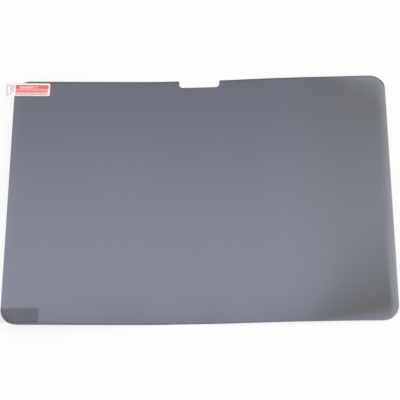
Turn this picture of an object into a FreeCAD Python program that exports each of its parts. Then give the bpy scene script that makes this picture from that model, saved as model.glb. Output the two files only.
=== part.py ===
import FreeCAD, Part
import math
import os

import Sketcher

# A tinted privacy film for a tablet, with a camera notch and two peel tabs, in millimetres.
# +X runs along the long side, +Y to the notched edge and +Z up. The film rests on a flat strip across its
# middle, whose underside has the origin at its centre. Left of the strip the film bends up into a straight
# wing, and right of it the film rises over a low hump and curls up at its edge.
SIZES = [
    ("film_width", 240.0),  # long side, seen from above
    ("film_depth", 170.0),  # short side
    ("film_thickness", 0.4),
    ("corner_radius", 10.0),
    ("notch_width", 26.0),
    ("notch_depth", 5.0),
    ("notch_inner_radius", 2.5),
    ("notch_lip_radius", 0.8),
    ("rest_strip", 28.0),  # width of the flat strip that the film rests on
    ("wing_bend_radius", 500.0),
    ("wing_angle", 3.43),  # slope of the straight left wing, in degrees
    ("rise_bend_radius", 250.0),
    ("rise_angle", 2.41),  # steepest slope right of the strip, in degrees
    ("hump_radius", 1036.0),
    ("curl_width", 6.5),  # how far in from the right edge the film curls up
    ("curl_radius", 25.0),
    ("tab_length", 29.0),
    ("tab_width", 9.5),
    ("tab_thickness", 0.1),
    ("tab_corner_radius", 1.0),
    ("tab_overhang", 6.0),  # how far a tab reaches past the film's left edge
    ("tab_inset", 1.4),  # from a tab's long side to the film's long edge beside it
]
# The block that the film is pared from, and the cuts that pare it: heights as shares of the film's width,
# and how far a cut reaches past the film at each end.
BLOCK_HEIGHT, CUT_LEVEL = 0.4, 0.25
CUT_MARGIN = 2.4
START, END = range(1, 3)  # a sketch edge's ends
X_AXIS, Y_AXIS = range(-1, -3, -1)
ORIGIN = (X_AXIS, START)
FLAT_UP, FLAT_DOWN = math.radians(90), math.radians(-90)

doc = FreeCAD.newDocument("screen_protector")
sheet = doc.addObject("Spreadsheet::Sheet", "sizes")
for row, (alias, value) in enumerate(SIZES, start=1):
    sheet.set(f"A{row}", str(value))
    sheet.setAlias(f"A{row}", alias)
doc.recompute()
size = dict(SIZES)


def vec(x, y):
    return FreeCAD.Vector(x, y, 0)


def new_sketch(body, name, plane):
    """An empty sketch on one of the body's origin planes."""
    sketch = body.newObject("Sketcher::SketchObject", name)
    planes = [item for item in body.Origin.OriginFeatures if item.Role == plane]
    sketch.AttachmentSupport = [(planes[0], "")]
    sketch.MapMode = "FlatFace"
    return sketch


def bind(sketch, name, formula, constraint):
    """Adds a dimension to the sketch and ties it to the sheet."""
    sketch.renameConstraint(sketch.addConstraint(constraint), name)
    sketch.setExpression(f"Constraints.{name}", formula)


def smooth_loop(sketch, corners):
    """Draws a closed loop of straight sides with a tangent arc at each (point, radius) corner.

    Returns the sides and the arcs; side i runs from corner i to the next one, and arc i rounds corner i.
    """
    count = len(corners)
    cut = []  # where each corner's arc leaves its two sides
    for i, (point, radius) in enumerate(corners):
        back = (corners[i - 1][0] - point).normalize()
        ahead = (corners[(i + 1) % count][0] - point).normalize()
        cut.append((point + back * radius, point + ahead * radius, point + (back + ahead) * radius))
    sides, arcs = [], []
    for i in range(count):
        sides.append(sketch.addGeometry(Part.LineSegment(cut[i][1], cut[(i + 1) % count][0])))
    turns = []
    for i, (first, last, centre) in enumerate(cut):
        left_turn = (first - centre).cross(last - centre).z > 0
        if not left_turn:
            first, last = last, first
        circle = Part.Circle(centre, FreeCAD.Vector(0, 0, 1), corners[i][1])
        arc = Part.ArcOfCircle(circle, circle.parameter(first), circle.parameter(last))
        arcs.append(sketch.addGeometry(arc))
        turns.append((START, END) if left_turn else (END, START))
    for i in range(count):
        entry, leave = turns[i]
        sketch.addConstraint(Sketcher.Constraint("Tangent", sides[i - 1], END, arcs[i], entry))
        sketch.addConstraint(Sketcher.Constraint("Tangent", arcs[i], leave, sides[i], START))
    return sides, arcs


def draw_outline(sketch):
    """The film seen from above: a rounded rectangle with a notch in the middle of the far side."""
    half_width, half_depth = size["film_width"] / 2, size["film_depth"] / 2
    half_notch, floor = size["notch_width"] / 2, size["film_depth"] / 2 - size["notch_depth"]
    corner, inner, lip = size["corner_radius"], size["notch_inner_radius"], size["notch_lip_radius"]
    near, right, far_right, wall_right, notch_floor, wall_left, far_left, left = range(8)
    sides, arcs = smooth_loop(sketch, [
        (vec(-half_width, -half_depth), corner),
        (vec(half_width, -half_depth), corner),
        (vec(half_width, half_depth), corner),
        (vec(half_notch, half_depth), lip),
        (vec(half_notch, floor), inner),
        (vec(-half_notch, floor), inner),
        (vec(-half_notch, half_depth), lip),
        (vec(-half_width, half_depth), corner),
    ])
    for line in (far_right, far_left):
        sketch.addConstraint(Sketcher.Constraint("Horizontal", sides[line]))
    for line in (right, wall_right, wall_left, left):
        sketch.addConstraint(Sketcher.Constraint("Vertical", sides[line]))
    for line in (near, notch_floor):
        ends = (sides[line], START, sides[line], END)
        sketch.addConstraint(Sketcher.Constraint("Symmetric", *ends, Y_AXIS))
    sketch.addConstraint(Sketcher.Constraint("Horizontal", sides[far_right], END, sides[far_left], START))
    for first, others in ((0, (1, 2, 7)), (3, (6,)), (4, (5,))):
        for other in others:
            sketch.addConstraint(Sketcher.Constraint("Equal", arcs[first], arcs[other]))
    for name, arc in (("corner_radius", 0), ("notch_lip_radius", 3), ("notch_inner_radius", 4)):
        bind(sketch, name, f"sizes.{name}", Sketcher.Constraint("Radius", arcs[arc], size[name]))
    across = (sides[left], START, sides[right], START)
    bind(sketch, "width", "sizes.film_width", Sketcher.Constraint("DistanceX", *across, size["film_width"]))
    along = (sides[near], START, sides[far_right], END)
    bind(sketch, "depth", "sizes.film_depth", Sketcher.Constraint("DistanceY", *along, size["film_depth"]))
    middle = (sides[near], START, *ORIGIN)
    bind(sketch, "middle", "sizes.film_depth / 2", Sketcher.Constraint("DistanceY", *middle, half_depth))
    gap = (sides[wall_left], START, sides[wall_right], START)
    bind(sketch, "notch", "sizes.notch_width", Sketcher.Constraint("DistanceX", *gap, size["notch_width"]))
    sunk = (sides[notch_floor], START, sides[far_right], END)
    bind(sketch, "sunk", "sizes.notch_depth", Sketcher.Constraint("DistanceY", *sunk, size["notch_depth"]))


def draw_bend(sketch, above):
    """The film's bent course, seen from the near side, closed by straight sides above or below it."""
    reach = size["film_width"] / 2 + CUT_MARGIN
    level = CUT_LEVEL * size["film_width"] * (1 if above else -1)
    half_strip = size["rest_strip"] / 2
    wing, rise = math.radians(size["wing_angle"]), math.radians(size["rise_angle"])
    curl_start = size["film_width"] / 2 - size["curl_width"]
    axis = FreeCAD.Vector(0, 0, 1)

    def arc_of(centre, radius, first, last):
        return sketch.addGeometry(Part.ArcOfCircle(Part.Circle(centre, axis, radius), first, last))

    def ahead(centre, radius, slope, side):
        """The point of a bend where the film has this slope; side is -1 for a centre above the film."""
        return centre + vec(-math.sin(slope), math.cos(slope)) * radius * side

    wing_radius, rise_radius = size["wing_bend_radius"], size["rise_bend_radius"]
    hump_radius, curl_radius = size["hump_radius"], size["curl_radius"]
    wing_centre, rise_centre = vec(-half_strip, wing_radius), vec(half_strip, rise_radius)
    wing_end = ahead(wing_centre, wing_radius, -wing, -1)
    left_end = vec(-reach, wing_end.y + (wing_end.x + reach) * math.tan(wing))
    rise_end = ahead(rise_centre, rise_radius, rise, -1)
    hump_centre = rise_end - vec(-math.sin(rise), math.cos(rise)) * hump_radius
    fall = math.asin((hump_centre.x - curl_start) / hump_radius)
    hump_end = ahead(hump_centre, hump_radius, fall, 1)
    curl_centre = hump_end + vec(-math.sin(fall), math.cos(fall)) * curl_radius
    curl_slope = math.asin((reach - curl_centre.x) / curl_radius)
    right_end = ahead(curl_centre, curl_radius, curl_slope, -1)

    straight = sketch.addGeometry(Part.LineSegment(left_end, wing_end))
    wing_arc = arc_of(wing_centre, wing_radius, FLAT_DOWN - wing, FLAT_DOWN)
    strip = sketch.addGeometry(Part.LineSegment(vec(-half_strip, 0), vec(half_strip, 0)))
    rise_arc = arc_of(rise_centre, rise_radius, FLAT_DOWN, FLAT_DOWN + rise)
    hump_arc = arc_of(hump_centre, hump_radius, FLAT_UP + fall, FLAT_UP + rise)
    curl_arc = arc_of(curl_centre, curl_radius, FLAT_DOWN + fall, FLAT_DOWN + curl_slope)
    right_side = sketch.addGeometry(Part.LineSegment(right_end, vec(reach, level)))
    back = sketch.addGeometry(Part.LineSegment(vec(reach, level), vec(-reach, level)))
    left_side = sketch.addGeometry(Part.LineSegment(vec(-reach, level), left_end))

    for joint in (
        (straight, END, wing_arc, START),
        (wing_arc, END, strip, START),
        (strip, END, rise_arc, START),
        (rise_arc, END, hump_arc, END),
        (hump_arc, START, curl_arc, START),
    ):
        sketch.addConstraint(Sketcher.Constraint("Tangent", *joint))
    for joint in (
        (curl_arc, END, right_side, START),
        (right_side, END, back, START),
        (back, END, left_side, START),
        (left_side, END, straight, START),
    ):
        sketch.addConstraint(Sketcher.Constraint("Coincident", *joint))
    for line in (right_side, left_side):
        sketch.addConstraint(Sketcher.Constraint("Vertical", line))
    sketch.addConstraint(Sketcher.Constraint("Symmetric", back, START, back, END, Y_AXIS))
    sketch.addConstraint(Sketcher.Constraint("Symmetric", strip, START, strip, END, *ORIGIN))
    sketch.addConstraint(Sketcher.Constraint("Horizontal", strip))
    bind(sketch, "strip", "sizes.rest_strip", Sketcher.Constraint("Distance", strip, size["rest_strip"]))
    for name, arc in (
        ("wing_bend_radius", wing_arc),
        ("rise_bend_radius", rise_arc),
        ("hump_radius", hump_arc),
        ("curl_radius", curl_arc),
    ):
        bind(sketch, name, f"sizes.{name}", Sketcher.Constraint("Radius", arc, size[name]))
    for name, arc in (("wing_angle", wing_arc), ("rise_angle", rise_arc)):
        bind(sketch, name, f"sizes.{name}", Sketcher.Constraint("Angle", arc, math.radians(size[name])))
    start = Sketcher.Constraint("DistanceX", *ORIGIN, hump_arc, START, curl_start)
    bind(sketch, "curl_start", "sizes.film_width / 2 - sizes.curl_width", start)
    length = Sketcher.Constraint("Distance", back, 2 * reach)
    bind(sketch, "length", f"sizes.film_width + 2 * {CUT_MARGIN}", length)
    ends = (*ORIGIN, back, START) if above else (back, START, *ORIGIN)
    depth = Sketcher.Constraint("DistanceY", *ends, abs(level))
    bind(sketch, "level", f"{CUT_LEVEL} * sizes.film_width", depth)


def make_film():
    """A block with the film's outline, pared away below and above the film's bent course."""
    body = doc.addObject("PartDesign::Body", "privacy_film")
    outline = new_sketch(body, "outline", "XY_Plane")
    draw_outline(outline)
    block = body.newObject("PartDesign::Pad", "block")
    block.Profile = outline
    block.SideType = "Symmetric"
    block.setExpression("Length", f"{BLOCK_HEIGHT} * sizes.film_width")
    for name, above in (("underside", False), ("upper_side", True)):
        bend = new_sketch(body, name, "XZ_Plane")
        draw_bend(bend, above)
        if above:
            bend.setExpression("AttachmentOffset.Base.y", "sizes.film_thickness")
        pare = body.newObject("PartDesign::Pocket", f"pare_{name}")
        pare.Profile = bend
        pare.SideType = "Symmetric"
        pare.setExpression("Length", "2 * sizes.film_depth")
    return body


def make_tab(name, under):
    """A peel tab: a rounded label stuck flat on the left wing, above the film or under it."""
    body = doc.addObject("PartDesign::Body", name)
    outline = new_sketch(body, f"{name}_outline", "XY_Plane")
    first, last = -size["tab_overhang"], size["tab_length"] - size["tab_overhang"]
    half = size["tab_width"] / 2
    points = [vec(first, -half), vec(last, -half), vec(last, half), vec(first, half)]
    sides, arcs = smooth_loop(outline, [(point, size["tab_corner_radius"]) for point in points])
    near, right, far, left = sides
    outline.addConstraint(Sketcher.Constraint("Vertical", right))
    for line in (near, far):
        outline.addConstraint(Sketcher.Constraint("Horizontal", line))
    outline.addConstraint(Sketcher.Constraint("Symmetric", left, START, left, END, X_AXIS))
    for other in arcs[1:]:
        outline.addConstraint(Sketcher.Constraint("Equal", arcs[0], other))
    radius = Sketcher.Constraint("Radius", arcs[0], size["tab_corner_radius"])
    bind(outline, "corner", "sizes.tab_corner_radius", radius)
    past = Sketcher.Constraint("DistanceX", left, START, *ORIGIN, size["tab_overhang"])
    bind(outline, "past", "sizes.tab_overhang", past)
    long_side = Sketcher.Constraint("DistanceX", left, START, right, START, size["tab_length"])
    bind(outline, "long_side", "sizes.tab_length", long_side)
    short_side = Sketcher.Constraint("DistanceY", near, START, far, START, size["tab_width"])
    bind(outline, "short_side", "sizes.tab_width", short_side)
    label = body.newObject("PartDesign::Pad", f"{name}_label")
    label.Profile = outline
    label.Reversed = under
    label.setExpression("Length", "sizes.tab_thickness")
    # The tab's own origin lies on the film's left edge, at the height of the wing there.
    body.Placement = FreeCAD.Placement(FreeCAD.Vector(), FreeCAD.Rotation(FreeCAD.Vector(0, 1, 0), 1))
    body.setExpression("Placement.Rotation.Angle", "sizes.wing_angle")
    body.setExpression("Placement.Base.x", "-sizes.film_width / 2")
    from_middle = "sizes.film_depth / 2 - sizes.tab_inset - sizes.tab_width / 2"
    body.setExpression("Placement.Base.y", f"-({from_middle})" if under else from_middle)
    bend_height = "sizes.wing_bend_radius * (1 - cos(sizes.wing_angle))"
    bend_width = "sizes.rest_strip / 2 + sizes.wing_bend_radius * sin(sizes.wing_angle)"
    edge_height = f"{bend_height} + (sizes.film_width / 2 - ({bend_width})) * tan(sizes.wing_angle)"
    body.setExpression("Placement.Base.z", edge_height if under else f"{edge_height} + sizes.film_thickness")
    return body


pieces = [make_film(), make_tab("front_pull_tab", under=False), make_tab("rear_pull_tab", under=True)]
doc.recompute()
for item in doc.Objects:
    if "Invalid" in item.State or "Error" in item.State:
        raise RuntimeError(f"{item.Name} failed: {item.State}")
os.makedirs("parts", exist_ok=True)
for piece in pieces:
    if piece.Shape.isNull() or not piece.Shape.isValid() or len(piece.Shape.Solids) != 1:
        raise RuntimeError(f"{piece.Label} is not one valid solid")
    piece.Shape.exportStep(f"parts/{piece.Label}.step")
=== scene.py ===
import math
from typing import NamedTuple

import bmesh
import bpy
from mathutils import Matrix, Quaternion, Vector


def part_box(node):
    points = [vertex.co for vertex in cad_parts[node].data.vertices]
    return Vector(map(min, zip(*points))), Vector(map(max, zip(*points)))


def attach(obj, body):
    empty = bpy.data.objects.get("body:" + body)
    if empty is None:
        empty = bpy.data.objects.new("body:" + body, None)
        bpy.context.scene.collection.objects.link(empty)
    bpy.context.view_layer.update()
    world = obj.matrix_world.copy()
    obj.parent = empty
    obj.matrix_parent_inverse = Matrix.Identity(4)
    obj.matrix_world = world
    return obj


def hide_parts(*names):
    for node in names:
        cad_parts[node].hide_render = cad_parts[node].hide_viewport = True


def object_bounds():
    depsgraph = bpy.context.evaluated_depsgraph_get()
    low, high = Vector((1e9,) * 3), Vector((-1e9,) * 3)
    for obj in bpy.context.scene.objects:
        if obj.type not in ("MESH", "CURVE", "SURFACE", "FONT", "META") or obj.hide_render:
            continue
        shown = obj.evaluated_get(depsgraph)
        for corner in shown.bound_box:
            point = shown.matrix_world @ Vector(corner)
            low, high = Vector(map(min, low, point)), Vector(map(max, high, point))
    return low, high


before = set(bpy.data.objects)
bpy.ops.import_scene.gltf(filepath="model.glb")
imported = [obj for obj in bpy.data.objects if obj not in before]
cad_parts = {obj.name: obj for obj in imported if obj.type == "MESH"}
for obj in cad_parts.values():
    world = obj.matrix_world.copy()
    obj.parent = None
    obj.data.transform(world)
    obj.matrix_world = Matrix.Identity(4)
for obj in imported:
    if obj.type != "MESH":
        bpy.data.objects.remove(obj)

bl_info = {
    "name": "Tablet screen protector",
    "version": (1, 0, 0),
    "blender": (4, 5, 0),
    "location": "3D View > Sidebar > Protector",
    "description": "Builds a tinted screen protector film with its pull tabs, and a plain studio round it",
    "category": "Object",
}

MM = 0.001
CAD_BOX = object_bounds()
FILM_LOW, FILM_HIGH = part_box("privacy_film")
FRONT_LOW, FRONT_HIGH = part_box("front_pull_tab")
REAR_LOW, REAR_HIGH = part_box("rear_pull_tab")
# Edges that turn by less than the first are shaded smooth, and by more than the second are cut edges.
SMOOTH_LIMIT, CUT_EDGE_LIMIT = math.radians(12), math.radians(60)
EDGE_SEGMENTS, EDGE_PROFILE = 2, 0.5
CUT_TOLERANCE = 0.0001 * MM
CORNER_STEPS, NOTCH_STEPS, LIP_STEPS, LABEL_STEPS = 16, 8, 6, 8
# Sockets of a Mix node that mixes colours.
MIX_FACTOR, MIX_A, MIX_B, MIX_OUT = 0, 6, 7, 2


def linear(hex_code):
    """A six-digit sRGB colour as linear red, green, blue and a full alpha."""
    parts = [int(hex_code[i:i + 2], 16) / 255 for i in (1, 3, 5)]
    return (*[p / 12.92 if p <= 0.04045 else ((p + 0.055) / 1.055) ** 2.4 for p in parts], 1.0)


def add_node(tree, kind, inputs=None, **settings):
    """Adds a node, sets its properties, and fills each input with a value or a link."""
    node = tree.nodes.new(kind)
    for key, value in settings.items():
        setattr(node, key, value)
    for key, value in (inputs or {}).items():
        if isinstance(value, bpy.types.NodeSocket):
            tree.links.new(value, node.inputs[key])
        else:
            node.inputs[key].default_value = value
    return node


def length(name, description, value):
    """A length property with its default in metres."""
    return bpy.props.FloatProperty(
        name=name, description=description, default=value, precision=5, unit="LENGTH")


def angle(name, description, degrees):
    """An angle property with its default given in degrees."""
    return bpy.props.FloatProperty(
        name=name, description=description, default=math.radians(degrees), subtype="ANGLE")


def colour(name, description, hex_code):
    """A colour property with its default given as sRGB hex."""
    return bpy.props.FloatVectorProperty(
        name=name, description=description, default=linear(hex_code), size=4,
        min=0, max=1, subtype="COLOR")


def number(name, description, value):
    """A plain number property."""
    return bpy.props.FloatProperty(name=name, description=description, default=value)


class ProtectorFilm(bpy.types.PropertyGroup):
    """Sizes and colours of the tinted film."""

    width: length("Width", "Long side of the film", FILM_HIGH.x - FILM_LOW.x)
    depth: length("Depth", "Short side of the film", FILM_HIGH.y - FILM_LOW.y)
    thickness: length("Thickness", "Thickness of the film with its layers", 0.4 * MM)
    corner_radius: length("Corner radius", "Radius of the four corners", 10 * MM)
    notch_width: length("Notch width", "Width of the camera notch", 26 * MM)
    notch_depth: length("Notch depth", "Depth of the camera notch", 5 * MM)
    notch_inner_radius: length("Notch inner radius", "Radius at the notch's floor", 2.5 * MM)
    notch_lip_radius: length("Notch lip radius", "Radius at the notch's mouth", 0.8 * MM)
    edge_round: length("Edge round", "Rounding left by the die at the cut edge", 0.06 * MM)
    # The rim is a pale line drawn inside every edge of the film.
    rim_width: length("Rim width", "Width of the pale pressed rim along the cut", 1.9 * MM)
    # The dark line along the long edges is partly the cut's own darkness and partly painted shade of the
    # cut face.
    dark_edge_width: length("Dark edge width", "Width of the dark line at the cut of a long edge", 1.1 * MM)
    # The haze here is a painted highlight: a paler colour added along the right edge and round its corners,
    # standing in for the light that the curled edge catches.
    painted_highlight_width: length("Painted highlight width", "Width of the haze along the right edge and round its corners", 6 * MM)
    painted_highlight_fade: length("Painted highlight fade", "Run along the long edges over which the haze dies out", 35 * MM)
    painted_highlight_least: number("Painted highlight least", "Share of the haze that is left at the near edge", 0.5)
    column_step: length("Column step", "Spacing of the mesh columns along the bend", 1.5 * MM)
    fine_step: length("Fine step", "Spacing of the mesh lines near the edges", 0.75 * MM)
    body_tint: colour("Body tint", "Colour of the louvre layer in the film", "#555449")
    cloud_tint: colour("Cloud tint", "Colour of its slow clouding", "#59584D")
    speck_tint: colour("Speck tint", "Colour of the dust specks", "#3C3B35")
    rim_pale: colour("Rim pale", "What the pale rim adds", "#2A2A2C")
    # The colour below for the haze along the right edge is a painted highlight, standing in for the light
    # that the curled edge catches.
    painted_highlight_tint: colour("Painted highlight tint", "What the haze along the right edge adds", "#8A8A86")
    rim_dark: colour("Rim dark", "Dark line at the cut of a long edge", "#4A4A44")
    rim_through: colour("Rim through", "Colour that light takes on at that cut", "#CACBD6")
    light_tint: colour("Light tint", "Colour that light takes on in passing one face", "#D4D7E9")
    end_tint: colour("End tint", "The same at the right end, where the louvres stand less open", "#CED1DC")
    coat_tint: colour("Coat tint", "Colour of the hard coat's reflections", "#E9EDFF")
    see_through: number("See-through", "Share of light that passes one face", 0.5)
    roughness: number("Roughness", "Roughness of the calendered face", 0.075)
    ior: number("IOR", "Refractive index of polyester", 1.6)


class ProtectorCourse(bpy.types.PropertyGroup):
    """The bends that the film takes from left to right as it lies."""

    rest_strip: length("Rest strip", "Width of the flat strip that touches the table", 28 * MM)
    wing_bend_radius: length("Wing bend radius", "Bend at the root of the left wing", 500 * MM)
    wing_angle: angle("Wing angle", "Slope of the straight left wing", 3.43)
    rise_bend_radius: length("Rise bend radius", "Bend where the right half lifts", 250 * MM)
    rise_angle: angle("Rise angle", "Slope at the end of that bend", 2.41)
    hump_radius: length("Hump radius", "Long hump of the right half", 1036 * MM)
    curl_width: length("Curl width", "How far in from the right edge the film curls up", 6.5 * MM)
    curl_near_width: length("Curl near width", "The same at the near edge", 5.5 * MM)
    # The run below also sets where the painted highlight along the right edge is full.
    near_run: length("Near run", "From the near edge to where the curl and its haze are full", 55 * MM)
    curl_radius: length("Curl radius", "Bend of that curl", 25 * MM)
    near_turn_start: length("Near turn start", "From the right edge to where the near one lifts", 55 * MM)
    near_turn_angle: angle("Near turn angle", "Way in which the near corner lifts, from the long edge", 78)
    near_turn_radius: length("Near turn radius", "Bend of the lifted near corner", 240 * MM)
    far_turn_start: length("Far turn start", "From the right edge to where the far one lifts", 46 * MM)
    far_turn_angle: angle("Far turn angle", "Way in which the far corner lifts, from the long edge", 60)
    far_turn_radius: length("Far turn radius", "Bend of the lifted far corner", 270 * MM)


class ProtectorLabels(bpy.types.PropertyGroup):
    """Sizes and colours of the pull tabs and their print."""

    thickness: length("Thickness", "Thickness of a tab", 0.1 * MM)
    corner_radius: length("Corner radius", "Radius of a tab's corners", 1 * MM)
    edge_round: length("Edge round", "Rounding at a tab's cut edge", 0.02 * MM)
    glue_line: length("Glue line", "Clear adhesive between a tab and the film", 0.02 * MM)
    ink_thickness: length("Ink thickness", "Thickness of one layer of ink", 0.015 * MM)
    rear_see_through: number("Rear see-through", "Share of light that passes the plain rear tab", 0.35)
    print_left: length("Print left", "From the tab's left end to the bands", 6.55 * MM)
    print_right: length("Print right", "From the bands to the tab's right end", 1.05 * MM)
    print_near: length("Print near", "Margin on the near side of the bands", 0.5 * MM)
    print_far: length("Print far", "Margin on the far side of the bands", 1.3 * MM)
    strong_foot: number("Strong foot", "Share of the print's depth at which the top band ends", 0.63)
    middle_foot: number("Middle foot", "Share of the print's depth at which the middle band ends", 0.27)
    sign_left: length("Sign left", "From the tab's left end to the peel sign", 0.8 * MM)
    sign_width: length("Sign width", "Width of the peel sign", 4.6 * MM)
    sign_foot: length("Sign foot", "From the bands' near side in to the sign", 0.2 * MM)
    sign_head: length("Sign head", "From the bands' far side in to the sign", 0.1 * MM)
    sign_line: length("Sign line", "Width of the sign's lines", 0.55 * MM)
    sign_fold: length("Sign fold", "Size of the sign's folded corner", 2.1 * MM)
    stock: colour("Stock", "Colour of the tabs", "#FBF3F6")
    strong_red: colour("Strong red", "Ink of the top band", "#EC6C62")
    middle_red: colour("Middle red", "Ink of the middle band", "#F9A29E")
    pale_red: colour("Pale red", "Ink of the bottom band", "#FBC9C9")
    dusky_red: colour("Dusky red", "Ink of the ticks and thin rules", "#C0747A")
    mark_pale: colour("Mark pale", "Ink of the pale marks", "#F4C8C4")
    sign_grey: colour("Sign grey", "Ink of the peel sign", "#C9C3C6")


class ProtectorStudio(bpy.types.PropertyGroup):
    """Camera, light and table."""

    distance: length("Distance", "Camera to the middle of the film", 924 * MM)
    azimuth: angle("Azimuth", "Camera to the right of the front", 5.997)
    elevation: angle("Elevation", "Camera above the table", 63.341)
    roll: angle("Roll", "Turn of the camera about its own axis", -6.722)
    lens: number("Lens", "Focal length in millimetres on a 36 mm sensor", 132.68)
    shift: bpy.props.FloatVectorProperty(
        name="Shift", description="Framing of the picture, in picture widths",
        default=(0.0018, -0.0057), size=2)
    panel_height: length("Panel height", "Height of the light panel", 1600 * MM)
    panel_level: number("Panel level", "Radiance of the light panel", 4.1)
    world_level: number("World level", "Light from all round", 1.12)
    table_white: colour("Table white", "Colour of the table's lacquer", "#FAFAFA")
    table_glow: number("Table glow", "Share of the table that stays white in shade", 0.8)


def arc(centre, radius, start, end, steps=CORNER_STEPS):
    """Points along an arc, angles in degrees."""
    turn = [math.radians(start + (end - start) * i / steps) for i in range(steps + 1)]
    return [(centre[0] + radius * math.cos(t), centre[1] + radius * math.sin(t)) for t in turn]


def film_outline(film):
    """The film's cut line, anticlockwise from its near right corner."""
    half_width, half_depth = film.width / 2, film.depth / 2
    corner = film.corner_radius
    inner, lip = film.notch_inner_radius, film.notch_lip_radius
    half_notch = film.notch_width / 2
    floor = half_depth - film.notch_depth
    right, far = half_width - corner, half_depth - corner
    return [
        *arc((right, -far), corner, -90, 0),
        *arc((right, far), corner, 0, 90),
        *arc((half_notch + lip, half_depth - lip), lip, 90, 180, LIP_STEPS),
        *arc((half_notch - inner, floor + inner), inner, 0, -90, NOTCH_STEPS),
        *arc((inner - half_notch, floor + inner), inner, -90, -180, NOTCH_STEPS),
        *arc((-half_notch - lip, half_depth - lip), lip, 0, 90, LIP_STEPS),
        *arc((-right, far), corner, 90, 180),
        *arc((-right, -far), corner, 180, 270),
    ]


def rounded_box(left, right, near, far, radius):
    """A rectangle with round corners, anticlockwise."""
    return [
        *arc((right - radius, near + radius), radius, -90, 0, LABEL_STEPS),
        *arc((right - radius, far - radius), radius, 0, 90, LABEL_STEPS),
        *arc((left + radius, far - radius), radius, 90, 180, LABEL_STEPS),
        *arc((left + radius, near + radius), radius, 180, 270, LABEL_STEPS),
    ]


def flat_blank(name, outlines, low, high, edge_round=0.0, cuts=()):
    """A flat closed sheet between two heights, cut along the given lines of x or y."""
    blank = bmesh.new()
    for outline in outlines:
        blank.faces.new([blank.verts.new((x, y, high)) for x, y in outline])
    for axis, place in cuts:
        normal = Vector((1, 0, 0)) if axis == "x" else Vector((0, 1, 0))
        everything = blank.verts[:] + blank.edges[:] + blank.faces[:]
        bmesh.ops.bisect_plane(
            blank, geom=everything, dist=CUT_TOLERANCE, plane_co=normal * place, plane_no=normal)
    made = bmesh.ops.extrude_face_region(blank, geom=blank.faces[:])
    lowered = [part for part in made["geom"] if isinstance(part, bmesh.types.BMVert)]
    bmesh.ops.translate(blank, verts=lowered, vec=(0, 0, low - high))
    bmesh.ops.recalc_face_normals(blank, faces=blank.faces[:])
    if edge_round:
        edges = [edge for edge in blank.edges if edge.calc_face_angle(0) > CUT_EDGE_LIMIT]
        bmesh.ops.bevel(
            blank, geom=edges, offset=edge_round, segments=EDGE_SEGMENTS, profile=EDGE_PROFILE,
            affect="EDGES")
    for face in blank.faces:
        face.smooth = True
    for edge in blank.edges:
        edge.smooth = edge.calc_face_angle(0) < SMOOTH_LIMIT
    mesh = bpy.data.meshes.new(name)
    blank.to_mesh(mesh)
    blank.free()
    piece = bpy.data.objects.new(name, mesh)
    bpy.context.scene.collection.objects.link(piece)
    return piece


def start_tree(name, inputs):
    """A Geometry Nodes tree with named inputs, and its input node."""
    tree = bpy.data.node_groups.new(name, "GeometryNodeTree")
    for label, kind in [("Geometry", "Geometry"), *inputs, ("Material", "Material")]:
        tree.interface.new_socket(label, in_out="INPUT", socket_type="NodeSocket" + kind)
    tree.interface.new_socket("Geometry", in_out="OUTPUT", socket_type="NodeSocketGeometry")
    return tree, add_node(tree, "NodeGroupInput").outputs


def end_tree(tree, geometry, material):
    """Makes instances real, sets the material and ends the tree."""
    real = add_node(tree, "GeometryNodeRealizeInstances", {"Geometry": geometry})
    finish = add_node(
        tree, "GeometryNodeSetMaterial", {"Geometry": real.outputs[0], "Material": material})
    add_node(tree, "NodeGroupOutput", {"Geometry": finish.outputs[0]})
    return tree


def use_tree(piece, tree, values):
    """Puts a tree on a piece, with its inputs set by their identifiers."""
    modifier = piece.modifiers.new(tree.name, "NODES")
    modifier.node_group = tree
    for item in tree.interface.items_tree:
        if item.in_out == "INPUT" and item.name in values:
            modifier[item.identifier] = values[item.name]


def plain_mesh(piece):
    """Turns what the trees made into the piece's own mesh."""
    seen = piece.evaluated_get(bpy.context.evaluated_depsgraph_get())
    made = bpy.data.meshes.new_from_object(seen)
    made.name = piece.name
    bare = piece.data
    piece.modifiers.clear()
    piece.data = made
    bpy.data.meshes.remove(bare)
    return piece


BENDS = (("Wing", -1), ("Wing end", -1), ("Rise", 1), ("Hump", 1), ("Curl", 1))
TURNED_CORNERS = ("Near", "Far")
# How steeply the painted highlight dies out along the long edges.
PAINTED_HIGHLIGHT_POWER = 3.0


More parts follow.
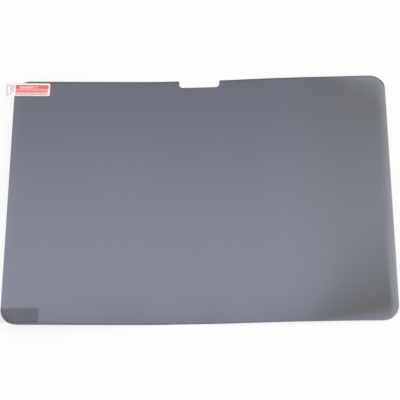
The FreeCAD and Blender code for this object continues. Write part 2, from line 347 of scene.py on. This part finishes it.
def course_tree():
    """Lifts a flat sheet on to the film's course: a bend adds its rise times its run squared."""
    bends = [(f"{bend} {word}", "Float") for bend, _ in BENDS for word in ("place", "rise")]
    turns = [
        (f"{corner} turn {word}", kind) for corner in TURNED_CORNERS
        for word, kind in (("place", "Vector"), ("way", "Vector"), ("rise", "Float"))]
    edges = [(word, "Float") for word in (
        "Curl near place", "Near run from", "Near run to", "Rim start", "Painted highlight start", "Cut",
        "Painted highlight fade from", "Painted highlight fade to", "Painted highlight least")]
    tree, given = start_tree("film_course", [*bends, *turns, ("Corner centre", "Vector"), *edges])
    place = add_node(tree, "GeometryNodeInputPosition").outputs[0]
    split = add_node(tree, "ShaderNodeSeparateXYZ", {0: place}).outputs
    along = split["X"]
    places = {bend: given[bend + " place"] for bend, _ in BENDS}
    # The curl narrows towards the near edge.
    places["Curl"] = add_node(
        tree, "ShaderNodeMapRange",
        {"Value": split["Y"], "From Min": given["Near run from"], "From Max": given["Near run to"],
         "To Min": given["Curl near place"], "To Max": given["Curl place"]}).outputs[0]
    runs = []
    for bend, side in BENDS:
        ends = (along, places[bend])[::side]
        run = add_node(tree, "ShaderNodeMath", {0: ends[0], 1: ends[1]}, operation="SUBTRACT")
        runs.append((run.outputs[0], given[bend + " rise"]))
    for corner in TURNED_CORNERS:
        out = add_node(
            tree, "ShaderNodeVectorMath", {0: place, 1: given[corner + " turn place"]},
            operation="SUBTRACT")
        run = add_node(
            tree, "ShaderNodeVectorMath", {0: out.outputs[0], 1: given[corner + " turn way"]},
            operation="DOT_PRODUCT")
        runs.append((run.outputs["Value"], given[corner + " turn rise"]))
    lift = 0.0
    for run, rise in runs:
        past = add_node(tree, "ShaderNodeMath", {0: run, 1: 0.0}, operation="MAXIMUM")
        square = add_node(tree, "ShaderNodeMath", {0: past.outputs[0], 1: 2.0}, operation="POWER")
        lift = add_node(
            tree, "ShaderNodeMath", {0: square.outputs[0], 1: rise, 2: lift},
            operation="MULTIPLY_ADD").outputs[0]
    offset = add_node(tree, "ShaderNodeCombineXYZ", {"Z": lift})
    moved = add_node(
        tree, "GeometryNodeSetPosition", {"Geometry": given["Geometry"], "Offset": offset.outputs[0]})
    # Rim and painted highlight follow the edges and round the corners, so the sheet's quarters are folded
    # on to one another and both are measured out from the corner's centre.
    folded = add_node(tree, "ShaderNodeVectorMath", {0: place}, operation="ABSOLUTE")
    beyond = add_node(
        tree, "ShaderNodeVectorMath", {0: folded.outputs[0], 1: given["Corner centre"]},
        operation="SUBTRACT")
    outward = add_node(
        tree, "ShaderNodeVectorMath", {0: beyond.outputs[0], 1: (0.0, 0.0, 0.0)}, operation="MAXIMUM")
    away = add_node(tree, "ShaderNodeVectorMath", {0: outward.outputs[0]}, operation="LENGTH")
    rim = add_node(
        tree, "ShaderNodeMapRange",
        {"Value": away.outputs["Value"], "From Min": given["Rim start"], "From Max": given["Cut"]},
        clamp=False)
    # The haze is a painted highlight: a paler colour along the right edge for the light that the curled
    # edge catches. It fades along the long edges and towards the near side.
    to_edge = add_node(
        tree, "ShaderNodeMapRange",
        {"Value": away.outputs["Value"], "From Min": given["Painted highlight start"], "From Max": given["Cut"]})
    to_end = add_node(
        tree, "ShaderNodeMapRange",
        {"Value": along, "From Min": given["Painted highlight fade from"], "From Max": given["Painted highlight fade to"]})
    fade = add_node(tree, "ShaderNodeMath", {0: to_end.outputs[0], 1: PAINTED_HIGHLIGHT_POWER}, operation="POWER")
    near_share = add_node(
        tree, "ShaderNodeMapRange",
        {"Value": split["Y"], "From Min": given["Near run from"], "From Max": given["Near run to"],
         "To Min": given["Painted highlight least"]})
    strength = add_node(
        tree, "ShaderNodeMath", {0: fade.outputs[0], 1: near_share.outputs[0]}, operation="MULTIPLY")
    painted_highlight = add_node(
        tree, "ShaderNodeMath", {0: to_edge.outputs[0], 1: strength.outputs[0]}, operation="MULTIPLY")
    marked = moved.outputs[0]
    for name, value in (("rim", rim), ("edge_painted_highlight", painted_highlight)):
        marked = add_node(
            tree, "GeometryNodeStoreNamedAttribute",
            {"Geometry": marked, "Name": name, "Value": value.outputs[0]},
            data_type="FLOAT", domain="POINT").outputs[0]
    return end_tree(tree, marked, given["Material"])


def course_values(scene):
    """Places and rises of the bends from their radii and angles, and the places of rim and painted
    highlight.
    A bend of radius r has risen by x * x * 0.5 / r at a run of x."""
    course, film = scene.protector_course, scene.protector_film
    half_strip = course.rest_strip / 2
    wing_end = half_strip + course.wing_bend_radius * math.sin(course.wing_angle)
    rise_end = half_strip + course.rise_bend_radius * math.sin(course.rise_angle)
    corner_x, corner_y = film.width / 2 - film.corner_radius, film.depth / 2 - film.corner_radius
    return {
        "Wing place": -half_strip,
        "Wing rise": 0.5 / course.wing_bend_radius,
        "Wing end place": -wing_end,
        "Wing end rise": -0.5 / course.wing_bend_radius,
        "Rise place": half_strip,
        "Rise rise": 0.5 / course.rise_bend_radius,
        "Hump place": rise_end,
        "Hump rise": -0.5 / course.rise_bend_radius - 0.5 / course.hump_radius,
        "Curl place": film.width / 2 - course.curl_width,
        "Curl near place": film.width / 2 - course.curl_near_width,
        "Near run from": -film.depth / 2,
        "Near run to": course.near_run - film.depth / 2,
        "Curl rise": 0.5 / course.hump_radius + 0.5 / course.curl_radius,
        "Near turn place": (film.width / 2 - course.near_turn_start, -film.depth / 2, 0.0),
        "Near turn way": (math.cos(course.near_turn_angle), -math.sin(course.near_turn_angle), 0.0),
        "Near turn rise": 0.5 / course.near_turn_radius,
        "Far turn place": (film.width / 2 - course.far_turn_start, film.depth / 2, 0.0),
        "Far turn way": (math.cos(course.far_turn_angle), math.sin(course.far_turn_angle), 0.0),
        "Far turn rise": 0.5 / course.far_turn_radius,
        "Corner centre": (corner_x, corner_y, film.thickness),
        "Rim start": film.corner_radius - film.rim_width,
        "Painted highlight start": film.corner_radius - film.painted_highlight_width,
        "Cut": film.corner_radius,
        "Painted highlight fade from": corner_x - film.painted_highlight_fade,
        "Painted highlight fade to": film.width / 2,
        "Painted highlight least": film.painted_highlight_least,
    }


def lay_on_course(piece, material):
    """Bends a flat piece to the film's course and gives it its material."""
    tree = bpy.data.node_groups.get("film_course") or course_tree()
    use_tree(piece, tree, {**course_values(bpy.context.scene), "Material": material})
    return plain_mesh(piece)


def hand_over(piece, slot_name, *nodes):
    """Makes a finished piece ride on the body and stand for its nodes, which it hides; its slot name is not
    used.
    """
    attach(piece, "root")
    if nodes:
        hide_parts(*nodes)


def new_material(name):
    """An empty node material with its output node."""
    material = bpy.data.materials.new(name)
    material.use_nodes = True
    tree = material.node_tree
    tree.nodes.clear()
    return material, tree, add_node(tree, "ShaderNodeOutputMaterial")


# Sizes of the marks in the film, and how far its roughness strays.
CLOUD_SIZE = 45 * MM
SPECK_SPACING, SPECK_RADIUS, SPECK_CORE = 65 * MM, 1.2 * MM, 0.4 * MM
STREAK_SPACING, STREAK_STRETCH = 3 * MM, 0.04
FILM_NOISE_DETAIL, FILM_ROUGHNESS_SPREAD = 2.0, 0.015
# Shares of the rim's width where its paleness starts and is full, and of the dark line's that it fades by.
PALE_START, PALE_FULL, DARK_EDGE_FADE = 0.1, 0.35, 0.2
# Shares of the film's width, from its middle, over which the louvres come to stand less open, and at
# which the near edge's dark line is gone.
END_START, END_FULL, DARK_EDGE_END = 0.2, 0.4, 0.4


def tinted_polyester(film):
    """Calendered polyester with a louvre layer: a smoky, half see-through sheet with a soft gloss.
    A pale line runs inside every edge, and the dark line at the cut of the long ones is partly the cut's
    own darkness and partly painted shade."""
    material, tree, output = new_material("tinted_polyester_calendered")
    place = add_node(tree, "ShaderNodeTexCoord").outputs["Object"]
    split = add_node(tree, "ShaderNodeSeparateXYZ", {0: place}).outputs
    # Slow clouding of the laminate, in broad patches.
    cloud = add_node(
        tree, "ShaderNodeTexNoise", {"Vector": place, "Scale": 1 / CLOUD_SIZE, "Detail": FILM_NOISE_DETAIL})
    clouded = add_node(
        tree, "ShaderNodeMix",
        {MIX_FACTOR: cloud.outputs["Fac"], MIX_A: film.body_tint, MIX_B: film.cloud_tint}, data_type="RGBA")
    # Specks of dust caught in the adhesive, far apart, each with the dimple round it.
    cell = add_node(
        tree, "ShaderNodeTexVoronoi", {"Vector": place, "Scale": 1 / SPECK_SPACING},
        voronoi_dimensions="2D")
    speck = add_node(
        tree, "ShaderNodeMapRange",
        {"Value": cell.outputs["Distance"], "From Min": SPECK_RADIUS / SPECK_SPACING,
         "From Max": SPECK_CORE / SPECK_SPACING},
        interpolation_type="SMOOTHSTEP")
    shade = add_node(
        tree, "ShaderNodeMix",
        {MIX_FACTOR: speck.outputs[0], MIX_A: clouded.outputs[MIX_OUT], MIX_B: film.speck_tint},
        data_type="RGBA")
    # Rolling marks from the calender: real ones are 0.2 mm apart, and these are coarser so that they show.
    stretched = add_node(tree, "ShaderNodeMapping", {"Vector": place, "Scale": (STREAK_STRETCH, 1.0, 1.0)})
    streak = add_node(
        tree, "ShaderNodeTexNoise",
        {"Vector": stretched.outputs[0], "Scale": 1 / STREAK_SPACING, "Detail": FILM_NOISE_DETAIL})
    gloss = add_node(
        tree, "ShaderNodeMapRange",
        {"Value": streak.outputs["Fac"], "To Min": film.roughness - FILM_ROUGHNESS_SPREAD,
         "To Max": film.roughness + FILM_ROUGHNESS_SPREAD})
    rim = add_node(tree, "ShaderNodeAttribute", attribute_name="rim").outputs["Fac"]
    pale_line = add_node(
        tree, "ShaderNodeMapRange", {"Value": rim, "From Min": PALE_START, "From Max": PALE_FULL},
        interpolation_type="SMOOTHSTEP")
    # Dark line along the long edges: partly the cut's own darkness, partly painted shade of the cut face.
    # It also lets less light through.
    dark_edge_share = film.dark_edge_width / film.rim_width
    at_cut = add_node(
        tree, "ShaderNodeMapRange",
        {"Value": rim, "From Min": 1 - (1 + DARK_EDGE_FADE) * dark_edge_share,
         "From Max": 1 - (1 - DARK_EDGE_FADE) * dark_edge_share},
        interpolation_type="SMOOTHSTEP")
    aside = add_node(tree, "ShaderNodeMath", {0: split["Y"]}, operation="ABSOLUTE")
    long_edge = add_node(
        tree, "ShaderNodeMapRange",
        {"Value": aside.outputs[0], "From Min": film.depth / 2 - film.corner_radius,
         "From Max": film.depth / 2 - film.corner_radius / 2})
    dark_edge_line = add_node(
        tree, "ShaderNodeMath", {0: at_cut.outputs[0], 1: long_edge.outputs[0]}, operation="MULTIPLY")
    # Along the near edge the line dies out towards the right end.
    dying = add_node(
        tree, "ShaderNodeMapRange",
        {"Value": split["X"], "From Min": 0.0, "From Max": film.width * DARK_EDGE_END,
         "To Min": 1.0, "To Max": 0.0})
    far_side = add_node(tree, "ShaderNodeMath", {0: split["Y"], 1: 0.0}, operation="GREATER_THAN")
    lasting = add_node(
        tree, "ShaderNodeMath", {0: dying.outputs[0], 1: far_side.outputs[0]}, operation="MAXIMUM")
    dark_line = add_node(
        tree, "ShaderNodeMath", {0: dark_edge_line.outputs[0], 1: lasting.outputs[0]}, operation="MULTIPLY")
    # Painted highlight: a paler colour is added along the right edge and round its corners, where the
    # curled edge catches the softbox's light.
    painted_highlight = add_node(tree, "ShaderNodeAttribute", attribute_name="edge_painted_highlight").outputs["Fac"]
    with_painted_highlight = add_node(
        tree, "ShaderNodeMix", {MIX_FACTOR: painted_highlight, MIX_A: shade.outputs[MIX_OUT], MIX_B: film.painted_highlight_tint},
        data_type="RGBA", blend_type="ADD")
    paler = add_node(
        tree, "ShaderNodeMix",
        {MIX_FACTOR: pale_line.outputs[0], MIX_A: with_painted_highlight.outputs[MIX_OUT], MIX_B: film.rim_pale},
        data_type="RGBA", blend_type="ADD")
    edged = add_node(
        tree, "ShaderNodeMix",
        {MIX_FACTOR: dark_line.outputs[0], MIX_A: paler.outputs[MIX_OUT], MIX_B: film.rim_dark},
        data_type="RGBA")
    right_end = add_node(
        tree, "ShaderNodeMapRange",
        {"Value": split["X"], "From Min": film.width * END_START, "From Max": film.width * END_FULL},
        interpolation_type="SMOOTHSTEP")
    tinted = add_node(
        tree, "ShaderNodeMix",
        {MIX_FACTOR: right_end.outputs[0], MIX_A: film.light_tint, MIX_B: film.end_tint}, data_type="RGBA")
    through = add_node(
        tree, "ShaderNodeMix",
        {MIX_FACTOR: dark_line.outputs[0], MIX_A: tinted.outputs[MIX_OUT], MIX_B: film.rim_through},
        data_type="RGBA")
    body = add_node(
        tree, "ShaderNodeBsdfPrincipled",
        {"Base Color": edged.outputs[MIX_OUT], "Roughness": gloss.outputs[0], "IOR": film.ior,
         "Specular Tint": film.coat_tint})
    clear = add_node(tree, "ShaderNodeBsdfTransparent", {"Color": through.outputs[MIX_OUT]})
    both = add_node(
        tree, "ShaderNodeMixShader",
        {0: 1 - film.see_through, 1: clear.outputs[0], 2: body.outputs[0]})
    tree.links.new(both.outputs[0], output.inputs["Surface"])
    return material


PRINT_IOR, PRINT_NOISE_DETAIL, PRINT_ROUGHNESS_SPREAD = 1.48, 3.0, 0.06
STOCK_MOTTLE_SIZE, STOCK_MOTTLE_DEPTH, STOCK_ROUGHNESS = 1.2 * MM, 0.015, 0.45
INK_MOTTLE_SIZE, INK_MOTTLE_DEPTH, INK_ROUGHNESS = 0.4 * MM, 0.05, 0.4


def printed_surface(name, tone, mottle_size, mottle_depth, roughness, see_through=0.0):
    """A coated or inked surface: near flat colour with the fine mottle that the print roller leaves."""
    material, tree, output = new_material(name)
    place = add_node(tree, "ShaderNodeTexCoord").outputs["Object"]
    mottle = add_node(
        tree, "ShaderNodeTexNoise",
        {"Vector": place, "Scale": 1 / mottle_size, "Detail": PRINT_NOISE_DETAIL})
    level = add_node(
        tree, "ShaderNodeMapRange",
        {"Value": mottle.outputs["Fac"], "To Min": 1 - mottle_depth, "To Max": 1 + mottle_depth})
    shade = add_node(
        tree, "ShaderNodeMix", {MIX_FACTOR: 1.0, MIX_A: tone, MIX_B: level.outputs[0]},
        data_type="RGBA", blend_type="MULTIPLY")
    gloss = add_node(
        tree, "ShaderNodeMapRange",
        {"Value": mottle.outputs["Fac"], "To Min": roughness - PRINT_ROUGHNESS_SPREAD,
         "To Max": roughness + PRINT_ROUGHNESS_SPREAD})
    surface = add_node(
        tree, "ShaderNodeBsdfPrincipled",
        {"Base Color": shade.outputs[MIX_OUT], "Roughness": gloss.outputs[0], "IOR": PRINT_IOR,
         "Alpha": 1 - see_through})
    tree.links.new(surface.outputs[0], output.inputs["Surface"])
    return material


def label_stock(labels, face, see_through=0.0):
    """Polypropylene label: a bright, faintly warm white with a half-dull face. A coat for print stops the
    light, and plain stock lets some through."""
    return printed_surface(
        "polypropylene_label_" + face, labels.stock, STOCK_MOTTLE_SIZE, STOCK_MOTTLE_DEPTH, STOCK_ROUGHNESS,
        see_through)


def offset_ink(name, tone):
    """A thin layer of offset ink: a flat, half-dull colour with a fine mottle."""
    return printed_surface("offset_ink_" + name, tone, INK_MOTTLE_SIZE, INK_MOTTLE_DEPTH, INK_ROUGHNESS)


# Fine mesh lines reach this far past the corners, and coarser rows follow them for this long.
FINE_MARGIN, ROW_BAND = 2 * MM, 25 * MM


class PROTECTOR_OT_film(bpy.types.Operator):
    """Cut the tinted film from a flat blank and bend it as it lies"""

    bl_idname = "protector.film"
    bl_label = "Tinted film"

    def execute(self, context):
        film = context.scene.protector_film
        half_width, half_depth = film.width / 2, film.depth / 2
        columns = int(film.width / film.column_step)
        cuts = [("x", film.width * i / columns - half_width) for i in range(1, columns)]
        # The lines near an edge start half a step in from it.
        fine = int((film.corner_radius + FINE_MARGIN) / film.fine_step)
        rows = [film.fine_step * (i + 0.5) for i in range(fine)]
        for row in rows:
            cuts += [("x", half_width - row), ("x", row - half_width)]
        coarse = int(ROW_BAND / film.column_step)
        rows += [rows[-1] + film.column_step * (i + 1) for i in range(coarse)]
        for row in rows:
            cuts += [("y", half_depth - row), ("y", row - half_depth)]
        piece = flat_blank(
            "privacy_film_sheet", [film_outline(film)], 0.0, film.thickness, film.edge_round, cuts)
        lay_on_course(piece, tinted_polyester(film))
        hand_over(piece, "tinted_film", "privacy_film")
        return {"FINISHED"}


class PROTECTOR_OT_tabs(bpy.types.Operator):
    """Cut the two pull tabs and lay them on the film's faces"""

    bl_idname = "protector.tabs"
    bl_label = "Pull tabs"

    def execute(self, context):
        film, labels = context.scene.protector_film, context.scene.protector_labels
        coated = label_stock(labels, "coated")
        plain = label_stock(labels, "plain", labels.rear_see_through)
        for node, low, high, base, face, stock in (
            ("front_pull_tab", FRONT_LOW, FRONT_HIGH, film.thickness, labels.thickness, coated),
            ("rear_pull_tab", REAR_LOW, REAR_HIGH, 0.0, -labels.thickness, plain),
        ):
            outline = rounded_box(low.x, high.x, low.y, high.y, labels.corner_radius)
            glued = base + math.copysign(labels.glue_line, face)
            piece = flat_blank(node + "_label", [outline], glued, base + face, labels.edge_round)
            lay_on_course(piece, stock)
            hand_over(piece, "tab_label", node)
        return {"FINISHED"}


def mark_tree():
    """A row of small printed bars whose widths vary from a fixed seed."""
    tree, given = start_tree("mark_row", [
        ("Start", "Vector"), ("Pitch", "Float"), ("Count", "Int"), ("Narrow", "Float"),
        ("Wide", "Float"), ("Tall", "Float"), ("Thick", "Float"), ("Seed", "Int")])
    step = add_node(tree, "ShaderNodeCombineXYZ", {"X": given["Pitch"]})
    line = add_node(
        tree, "GeometryNodeMeshLine",
        {"Count": given["Count"], "Start Location": given["Start"], "Offset": step.outputs[0]})
    width = add_node(
        tree, "FunctionNodeRandomValue", {2: given["Narrow"], 3: given["Wide"], "Seed": given["Seed"]},
        data_type="FLOAT")
    size = add_node(
        tree, "ShaderNodeCombineXYZ", {"X": width.outputs[1], "Y": given["Tall"], "Z": given["Thick"]})
    bar = add_node(tree, "GeometryNodeMeshCube", {"Size": (1.0, 1.0, 1.0)})
    row = add_node(
        tree, "GeometryNodeInstanceOnPoints",
        {"Points": line.outputs[0], "Instance": bar.outputs[0], "Scale": size.outputs[0]})
    return end_tree(tree, row.outputs[0], given["Material"])


class MarkRow(NamedTuple):
    """A row of plain bars: its level as a share of the print's depth, and its lengths in millimetres."""

    name: str
    ink: str
    level: float
    lead: float
    pitch: float
    count: int
    narrow: float
    wide: float
    tall: float
    seed: int


MARK_ROWS = (
    MarkRow("ticks", "dusky_red", level=0.92, lead=1.5, pitch=2.1, count=7,
            narrow=0.9, wide=1.7, tall=0.7, seed=2),
    MarkRow("marks", "mark_pale", level=0.78, lead=3.4, pitch=1.75, count=7,
            narrow=0.5, wide=1.6, tall=1.9, seed=3),
    MarkRow("rule_high", "dusky_red", level=0.41, lead=0.75, pitch=1.05, count=19,
            narrow=0.45, wide=0.95, tall=0.6, seed=5),
    MarkRow("rule_mid", "dusky_red", level=0.30, lead=0.75, pitch=1.05, count=19,
            narrow=0.45, wide=0.95, tall=0.5, seed=8),
    MarkRow("rule_low", "dusky_red", level=0.09, lead=0.75, pitch=1.05, count=19,
            narrow=0.4, wide=0.9, tall=0.45, seed=13),
)
BAND_CORNER, SIGN_CORNER = 0.05 * MM, 0.1 * MM


def peel_sign(labels, near, far):
    """Outlines of a plain sheet with a folded corner and a bar on it, within the bands' depth."""
    left = FRONT_LOW.x + labels.sign_left
    right = left + labels.sign_width
    near, far = near + labels.sign_foot, far - labels.sign_head
    line, fold = labels.sign_line, labels.sign_fold
    boxes = (
        (left, right, far - line, far),
        (left, left + line, near, far - line),
        (left + line, right - fold, near, near + line),
        (right - line, right, near + fold, far - line),
        (right - fold, right - fold / 2, far - 2 * fold, far - 2 * line),
    )
    corner = [(right - fold, near + line), (right - line, near + fold), (right - fold, near + fold)]
    return [*(rounded_box(*box, SIGN_CORNER) for box in boxes), corner]


class PROTECTOR_OT_print(bpy.types.Operator):
    """Print bands, rows of plain marks and a peel sign on the front tab"""

    bl_idname = "protector.label_print"
    bl_label = "Tab print"

    def execute(self, context):
        film, labels = context.scene.protector_film, context.scene.protector_labels
        face = film.thickness + labels.thickness
        ink = labels.ink_thickness
        left, right = FRONT_LOW.x + labels.print_left, FRONT_HIGH.x - labels.print_right
        near, far = FRONT_LOW.y + labels.print_near, FRONT_HIGH.y - labels.print_far
        depth = far - near
        for name, tone, low, high in (
            ("strong", labels.strong_red, labels.strong_foot, 1.0),
            ("middle", labels.middle_red, labels.middle_foot, labels.strong_foot),
            ("pale", labels.pale_red, 0.0, labels.middle_foot),
        ):
            outline = rounded_box(left, right, near + depth * low, near + depth * high, BAND_CORNER)
            piece = flat_blank("front_tab_band_" + name, [outline], face, face + ink)
            lay_on_course(piece, offset_ink(name + "_red", tone))
            hand_over(piece, "tab_label")
        tree = mark_tree()
        # The bars lie on the bands, so their middle is one and a half layers of ink up.
        bar_middle = face + ink * 1.5
        for row in MARK_ROWS:
            name = "front_tab_" + row.name
            piece = bpy.data.objects.new(name, bpy.data.meshes.new(name))
            context.scene.collection.objects.link(piece)
            material = offset_ink(row.name, getattr(labels, row.ink))
            use_tree(piece, tree, {
                "Start": (left + row.lead * MM, near + depth * row.level, bar_middle),
                "Pitch": row.pitch * MM, "Count": row.count, "Narrow": row.narrow * MM,
                "Wide": row.wide * MM, "Tall": row.tall * MM, "Thick": ink, "Seed": row.seed,
                "Material": material})
            lay_on_course(piece, material)
            hand_over(piece, "tab_label")
        piece = flat_blank("front_tab_peel_sign", peel_sign(labels, near, far), face, face + ink)
        lay_on_course(piece, offset_ink("grey", labels.sign_grey))
        hand_over(piece, "tab_label")
        return {"FINISHED"}


# Places on the stage are in metres from the film's middle.
SOFTBOX_SIDE, SOFTBOX_NEAR, SOFTBOX_FAR = 0.9, 0.37, 1.29
# The softbox hangs askew: its light fades along this slant, near and far.
SLANT = (-0.095, 1.0, 0.0)
FAR_DARK, FAR_LIT, NEAR_DARK, NEAR_LIT = 1.2, 0.632, 0.457, 0.611
# A flag covers what lies past a line through this point, and its edge softens from left to right.
FLAG_NORMAL, FLAG_POINT = (0.33, -0.944, 0.0), (0.095, 0.5425, 0.0)
FLAG_LINE = sum(way * place for way, place in zip(FLAG_NORMAL, FLAG_POINT))
FLAG_LEFT, FLAG_RIGHT = 0.09, 0.25
FLAG_CRISP, FLAG_SOFT = 0.012, 0.145
TABLE_REACH, TABLE_GAP = 4.0, 0.05 * MM
SENSOR_MM = 36.0


def softbox(studio):
    """Diffusing cloth of a large softbox, hung a little askew: even in the middle, fading outwards."""
    material, tree, output = new_material("softbox_diffuser")
    place = add_node(tree, "ShaderNodeTexCoord").outputs["Object"]
    across = add_node(tree, "ShaderNodeVectorMath", {0: place, 1: SLANT}, operation="DOT_PRODUCT")
    far_fade = add_node(
        tree, "ShaderNodeMapRange",
        {"Value": across.outputs["Value"], "From Min": FAR_DARK, "From Max": FAR_LIT},
        interpolation_type="SMOOTHSTEP")
    near_fade = add_node(
        tree, "ShaderNodeMapRange",
        {"Value": across.outputs["Value"], "From Min": NEAR_DARK, "From Max": NEAR_LIT},
        interpolation_type="SMOOTHSTEP")
    # The flag is black and leans back, so its right end is further off and softer.
    beyond = add_node(
        tree, "ShaderNodeVectorMath", {0: place, 1: FLAG_NORMAL}, operation="DOT_PRODUCT")
    inside = add_node(
        tree, "ShaderNodeMath", {0: FLAG_LINE, 1: beyond.outputs["Value"]}, operation="SUBTRACT")
    right = add_node(tree, "ShaderNodeSeparateXYZ", {0: place}).outputs["X"]
    softness = add_node(
        tree, "ShaderNodeMapRange",
        {"Value": right, "From Min": FLAG_LEFT, "From Max": FLAG_RIGHT,
         "To Min": FLAG_CRISP, "To Max": FLAG_SOFT})
    depth = add_node(
        tree, "ShaderNodeMath", {0: inside.outputs[0], 1: softness.outputs[0]}, operation="DIVIDE")
    clear_part = add_node(
        tree, "ShaderNodeMapRange",
        {"Value": depth.outputs[0], "From Min": -1.0, "From Max": 1.0},
        interpolation_type="SMOOTHSTEP")
    even = add_node(
        tree, "ShaderNodeMath", {0: far_fade.outputs[0], 1: near_fade.outputs[0]}, operation="MULTIPLY")
    level = add_node(
        tree, "ShaderNodeMath", {0: even.outputs[0], 1: clear_part.outputs[0]}, operation="MULTIPLY")
    strength = add_node(
        tree, "ShaderNodeMath", {0: level.outputs[0], 1: studio.panel_level}, operation="MULTIPLY")
    glow = add_node(tree, "ShaderNodeEmission", {"Strength": strength.outputs[0]})
    tree.links.new(glow.outputs[0], output.inputs["Surface"])
    return material


def seen_rays(tree):
    """One for camera, mirror and glass rays, nought for light that falls on the object."""
    ray = add_node(tree, "ShaderNodeLightPath").outputs
    either = add_node(
        tree, "ShaderNodeMath", {0: ray["Is Camera Ray"], 1: ray["Is Glossy Ray"]}, operation="MAXIMUM")
    either = add_node(
        tree, "ShaderNodeMath", {0: either.outputs[0], 1: ray["Is Transmission Ray"]}, operation="MAXIMUM")
    return either.outputs[0]


def white_table(studio):
    """Lacquered white table top: the part that glows for the eye keeps it white, the rest takes shade."""
    material, tree, output = new_material("white_table_lacquered")
    plain = add_node(tree, "ShaderNodeBsdfDiffuse", {"Color": studio.table_white})
    glow = add_node(tree, "ShaderNodeEmission", {"Strength": 1.0})
    share = add_node(
        tree, "ShaderNodeMath", {0: seen_rays(tree), 1: studio.table_glow}, operation="MULTIPLY")
    both = add_node(
        tree, "ShaderNodeMixShader", {0: share.outputs[0], 1: plain.outputs[0], 2: glow.outputs[0]})
    tree.links.new(both.outputs[0], output.inputs["Surface"])
    return material


def stage_plane(name, left, right, near, far, height, material):
    """A flat rectangle that belongs to the stage."""
    mesh = bpy.data.meshes.new(name)
    corners = [(left, near, 0.0), (right, near, 0.0), (right, far, 0.0), (left, far, 0.0)]
    mesh.from_pydata(corners, [], [(0, 1, 2, 3)])
    mesh.materials.append(material)
    plane = bpy.data.objects.new(name, mesh)
    plane.location.z = height
    bpy.context.scene.collection.objects.link(plane)
    return plane


class PROTECTOR_OT_studio(bpy.types.Operator):
    """Set the white table, the softbox, the light from all round and the camera"""

    bl_idname = "protector.studio"
    bl_label = "Studio"

    def execute(self, context):
        scene, studio = context.scene, context.scene.protector_studio
        stage_plane(
            "table", -TABLE_REACH, TABLE_REACH, -TABLE_REACH, TABLE_REACH, CAD_BOX[0].z - TABLE_GAP,
            white_table(studio))
        panel = stage_plane(
            "softbox", -SOFTBOX_SIDE, SOFTBOX_SIDE, SOFTBOX_NEAR, SOFTBOX_FAR, studio.panel_height,
            softbox(studio))
        panel.visible_camera = False
        world = bpy.data.worlds.new("white_studio")
        world.use_nodes = True
        tree = world.node_tree
        tree.nodes.clear()
        level = add_node(
            tree, "ShaderNodeMapRange",
            {"Value": seen_rays(tree), "To Min": studio.world_level, "To Max": 1.0})
        around = add_node(tree, "ShaderNodeBackground", {"Strength": level.outputs[0]})
        add_node(tree, "ShaderNodeOutputWorld", {"Surface": around.outputs[0]})
        scene.world = world
        scene.view_settings.view_transform = "Standard"
        lens = bpy.data.cameras.new("camera")
        lens.sensor_width = SENSOR_MM
        lens.lens = studio.lens
        lens.shift_x, lens.shift_y = studio.shift
        camera = bpy.data.objects.new("camera", lens)
        back = Vector((
            math.sin(studio.azimuth) * math.cos(studio.elevation),
            -math.cos(studio.azimuth) * math.cos(studio.elevation),
            math.sin(studio.elevation)))
        camera.location = back * studio.distance
        camera.rotation_mode = "QUATERNION"
        level_turn = (-back).to_track_quat("-Z", "Y")
        camera.rotation_quaternion = level_turn @ Quaternion((0, 0, 1), studio.roll)
        scene.collection.objects.link(camera)
        scene.camera = camera
        return {"FINISHED"}


OPERATORS = (PROTECTOR_OT_tabs, PROTECTOR_OT_film, PROTECTOR_OT_print, PROTECTOR_OT_studio)
SETTINGS = {
    "protector_film": ProtectorFilm,
    "protector_course": ProtectorCourse,
    "protector_labels": ProtectorLabels,
    "protector_studio": ProtectorStudio,
}


class PROTECTOR_PT_panel(bpy.types.Panel):
    """Sizes, colours and build steps of the screen protector"""

    bl_label = "Screen protector"
    bl_idname = "PROTECTOR_PT_panel"
    bl_space_type = "VIEW_3D"
    bl_region_type = "UI"
    bl_category = "Protector"

    def draw(self, context):
        for operator in OPERATORS:
            self.layout.operator(operator.bl_idname)
        for name, group in SETTINGS.items():
            box = self.layout.box()
            box.label(text=group.__doc__)
            for key in group.__annotations__:
                box.prop(getattr(context.scene, name), key)


def register():
    for group in SETTINGS.values():
        bpy.utils.register_class(group)
    for cls in (*OPERATORS, PROTECTOR_PT_panel):
        bpy.utils.register_class(cls)
    for name, group in SETTINGS.items():
        setattr(bpy.types.Scene, name, bpy.props.PointerProperty(type=group))


def unregister():
    for name in SETTINGS:
        delattr(bpy.types.Scene, name)
    for cls in (PROTECTOR_PT_panel, *reversed(OPERATORS)):
        bpy.utils.unregister_class(cls)
    for group in SETTINGS.values():
        bpy.utils.unregister_class(group)


def main():
    register()
    # The tabs come first, so that a viewer that blends in file order shows the rear one under the film.
    bpy.ops.protector.tabs()
    bpy.ops.protector.film()
    bpy.ops.protector.label_print()
    bpy.ops.protector.studio()


if __name__ == "__main__":
    main()
